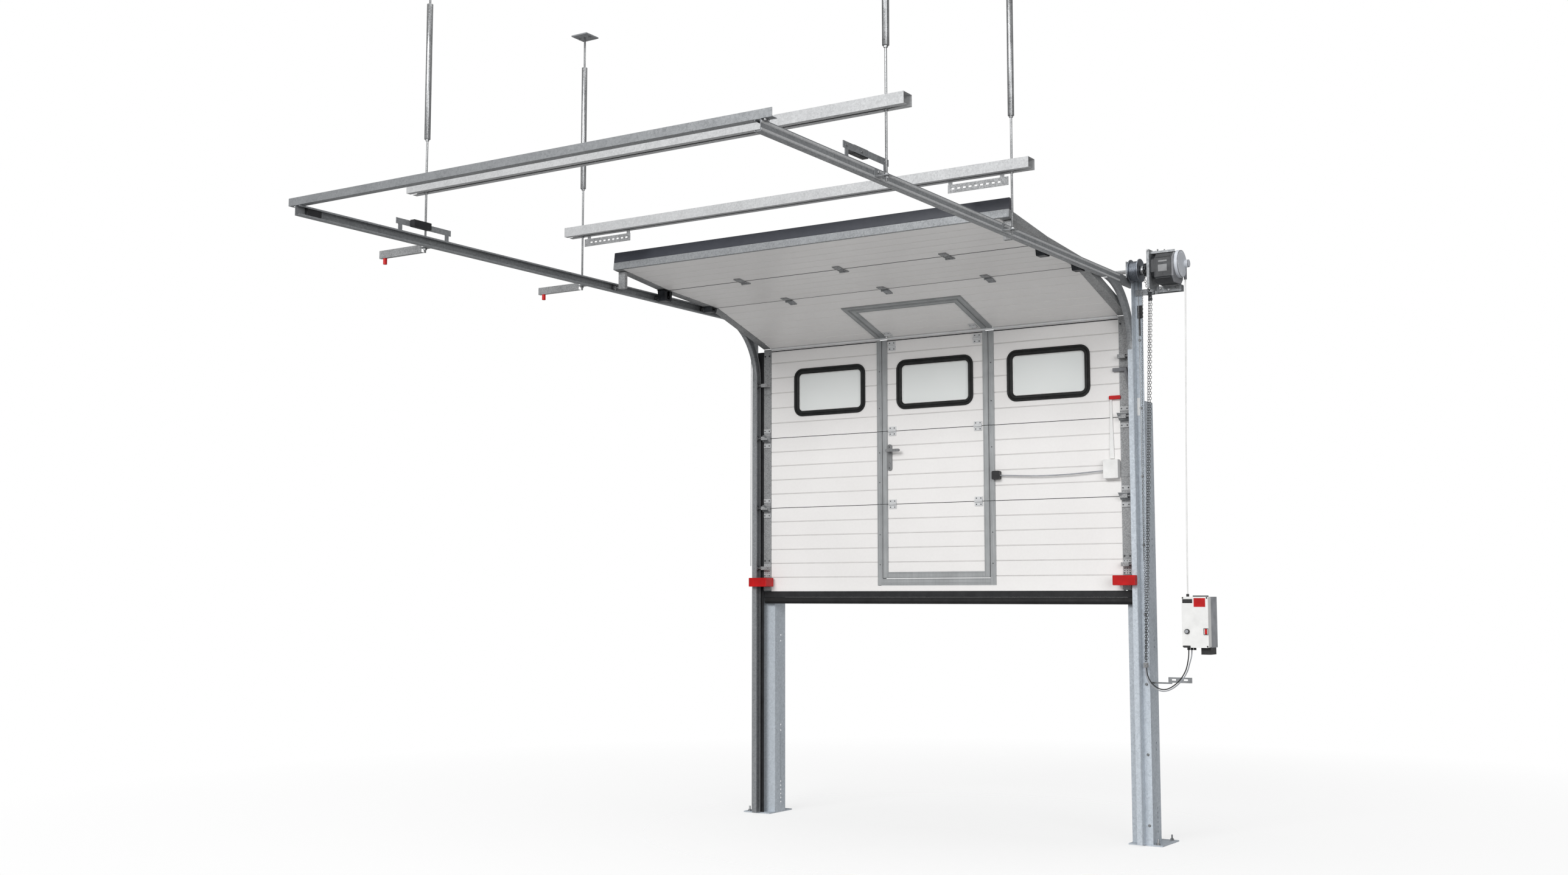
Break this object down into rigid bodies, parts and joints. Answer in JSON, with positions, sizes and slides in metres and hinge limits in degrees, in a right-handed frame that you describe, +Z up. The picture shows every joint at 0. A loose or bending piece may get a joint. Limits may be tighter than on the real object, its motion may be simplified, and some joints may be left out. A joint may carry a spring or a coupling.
{
  "type": "sectional industrial door with side-mounted opener",
  "caption": "Part-open overhead sectional door with wicket door, windows, galvanised tracks on posts and ceiling hangers, and a shaft-mounted electric opener with wall control box.",
  "frame": {"origin": "finished floor level, middle of the opening, inner face of the lower leaf", "axes": "+Z up, +X to the right seen from inside the building, +Y towards the outside"},
  "size_m": [3.655, 4.448, 4.983],
  "materials": {
    "panel_white": "coil-coated steel, satin",
    "galvanised": "hot-dip galvanised, spangled",
    "zinc_steel": "bright zinc plated",
    "anodised": "satin anodised",
    "black_rubber": "matt",
    "black_plastic": "fine grain",
    "red_plastic": "gloss",
    "white_plastic": "satin",
    "grey_plastic": "satin",
    "opener_grey": "powder coated",
    "glazing": "opal double acrylic",
    "nylon": "moulded",
    "spring_steel": "oiled",
    "seal_dark": "extruded",
    "aluminium": "cast",
    "bronze": "machined"
  },
  "bodies": {
    "frame": {"post_left": "galvanised", "post_right": "galvanised", "upright_tracks": "galvanised", "bend_tracks": "galvanised", "overhead_rails": "galvanised", "side_seals": "black_rubber", "cross_channels": "galvanised", "hanger_rods": "zinc_steel", "ceiling_plates": "galvanised", "fasteners": "zinc_steel", "adjuster_arms": "galvanised", "track_buffers": "black_rubber", "shaft_brackets": "galvanised", "torsion_springs": "spring_steel", "lifting_cables": "zinc_steel", "opener_housing": "opener_grey", "opener_cover": "grey_plastic", "opener_motor": "spring_steel", "hand_chain": "zinc_steel", "control_box_base": "grey_plastic", "control_box_cover": "white_plastic", "cable_fixings": "black_plastic", "motor_cable": "white_plastic", "grey_loop_cable": "grey_plastic", "black_loop_cable": "black_plastic"},
    "lower_leaf": {"section_1": "panel_white", "section_2": "panel_white", "section_3": "panel_white", "fittings_lower": "galvanised", "window_frames": "black_plastic", "window_panes": "glazing", "wicket_frame": "anodised", "wicket_leaf_bars": "anodised", "bottom_seal": "black_rubber", "red_covers": "red_plastic", "leaf_boxes": "white_plastic", "cable_cover": "white_plastic", "handle_plate": "black_plastic", "leaf_cord": "grey_plastic"},
    "upper_leaf": {"section_4": "panel_white", "wicket_head": "anodised", "fittings_upper": "galvanised"},
    "top_leaf": {"section_5": "panel_white", "section_6": "panel_white", "fittings_top": "galvanised", "top_seal": "seal_dark"},
    "shaft": {"spring_shaft": "galvanised", "cable_drums": "aluminium", "worm_wheel": "bronze"},
    "chain_pulley": {"chain_wheel": "black_plastic"},
    "lever": {"handle_lever": "black_plastic"},
    "knob": {"control_knob": "black_plastic"},
    "rocker": {"rocker_switch": "red_plastic"},
    "roller_pair_bottom": {"rollers_bottom": "nylon"},
    "roller_pair_first": {"rollers_first": "nylon"},
    "roller_pair_second": {"rollers_second": "nylon"},
    "roller_pair_third": {"rollers_third": "nylon"},
    "roller_pair_fourth": {"rollers_fourth": "nylon"},
    "roller_pair_fifth": {"rollers_fifth": "nylon"},
    "roller_pair_top": {"rollers_top": "nylon"}
  },
  "joints": [
    {"name": "door_travel", "type": "slide", "parent": "frame", "child": "lower_leaf", "axis": [0, 0, 1], "range_m": [-0.18, 0.03]},
    {"name": "upper_fold", "type": "hinge", "parent": "lower_leaf", "child": "upper_leaf", "pos_m": [0, -0.0074, 3.2215], "axis": [1, 0, 0], "range_deg": [-16.8, 2.9]},
    {"name": "top_fold", "type": "hinge", "parent": "upper_leaf", "child": "top_leaf", "pos_m": [0, -0.6623, 3.41334], "axis": [1, 0, 0], "range_deg": [-2.9, 16.8]},
    {"name": "shaft_turn", "type": "hinge", "parent": "frame", "child": "shaft", "pos_m": [0, -0.1, 3.475], "axis": [1, 0, 0], "range_deg": [-175, 30]},
    {"name": "hand_chain_turn", "type": "hinge", "parent": "frame", "child": "chain_pulley", "pos_m": [1.5105, -0.1, 3.475], "axis": [1, 0, 0], "continuous": true},
    {"name": "handle_turn", "type": "hinge", "parent": "lower_leaf", "child": "lever", "pos_m": [-0.338, -0.03, 2.459], "axis": [0, 1, 0], "range_deg": [0, 45], "stiffness_Nm_per_rad": 1.2, "springref_deg": -14.32},
    {"name": "knob_turn", "type": "hinge", "parent": "frame", "child": "knob", "pos_m": [1.722, -0.1, 1.282], "axis": [0, 1, 0], "range_deg": [-60, 60]},
    {"name": "rocker_tilt", "type": "hinge", "parent": "frame", "child": "rocker", "pos_m": [1.835, -0.093, 1.282], "axis": [1, 0, 0], "range_deg": [-7, 7]},
    {"name": "roller_turn_bottom", "type": "hinge", "parent": "lower_leaf", "child": "roller_pair_bottom", "pos_m": [0, -0.04, 1.684], "axis": [1, 0, 0], "range_deg": [-500, 90]},
    {"name": "roller_turn_first", "type": "hinge", "parent": "lower_leaf", "child": "roller_pair_first", "pos_m": [0, -0.04, 2.102], "axis": [1, 0, 0], "range_deg": [-500, 90]},
    {"name": "roller_turn_second", "type": "hinge", "parent": "lower_leaf", "child": "roller_pair_second", "pos_m": [0, -0.04, 2.592], "axis": [1, 0, 0], "range_deg": [-500, 90]},
    {"name": "roller_turn_third", "type": "hinge", "parent": "lower_leaf", "child": "roller_pair_third", "pos_m": [0, -0.04, 2.965], "axis": [1, 0, 0], "range_deg": [-500, 90]},
    {"name": "roller_turn_fourth", "type": "hinge", "parent": "top_leaf", "child": "roller_pair_fourth", "pos_m": [0, -0.70063, 3.415], "axis": [1, 0, 0], "range_deg": [-230, 40]},
    {"name": "roller_turn_fifth", "type": "hinge", "parent": "top_leaf", "child": "roller_pair_fifth", "pos_m": [0, -1.20543, 3.415], "axis": [1, 0, 0], "range_deg": [-230, 40]},
    {"name": "roller_turn_top", "type": "hinge", "parent": "top_leaf", "child": "roller_pair_top", "pos_m": [0, -1.64499, 3.415], "axis": [1, 0, 0], "range_deg": [-230, 40]}
  ],
  "couplings": [
    {"joint": "upper_fold", "follows": "door_travel", "rad_per_m": 1.6},
    {"joint": "top_fold", "follows": "door_travel", "rad_per_m": -1.6},
    {"joint": "shaft_turn", "follows": "door_travel", "rad_per_m": 16.667},
    {"joint": "roller_turn_bottom", "follows": "door_travel", "rad_per_m": 47.6},
    {"joint": "roller_turn_first", "follows": "door_travel", "rad_per_m": 47.6},
    {"joint": "roller_turn_second", "follows": "door_travel", "rad_per_m": 47.6},
    {"joint": "roller_turn_third", "follows": "door_travel", "rad_per_m": 47.6},
    {"joint": "roller_turn_fourth", "follows": "door_travel", "rad_per_m": 21.9},
    {"joint": "roller_turn_fifth", "follows": "door_travel", "rad_per_m": 21.9},
    {"joint": "roller_turn_top", "follows": "door_travel", "rad_per_m": 21.9}
  ]
}
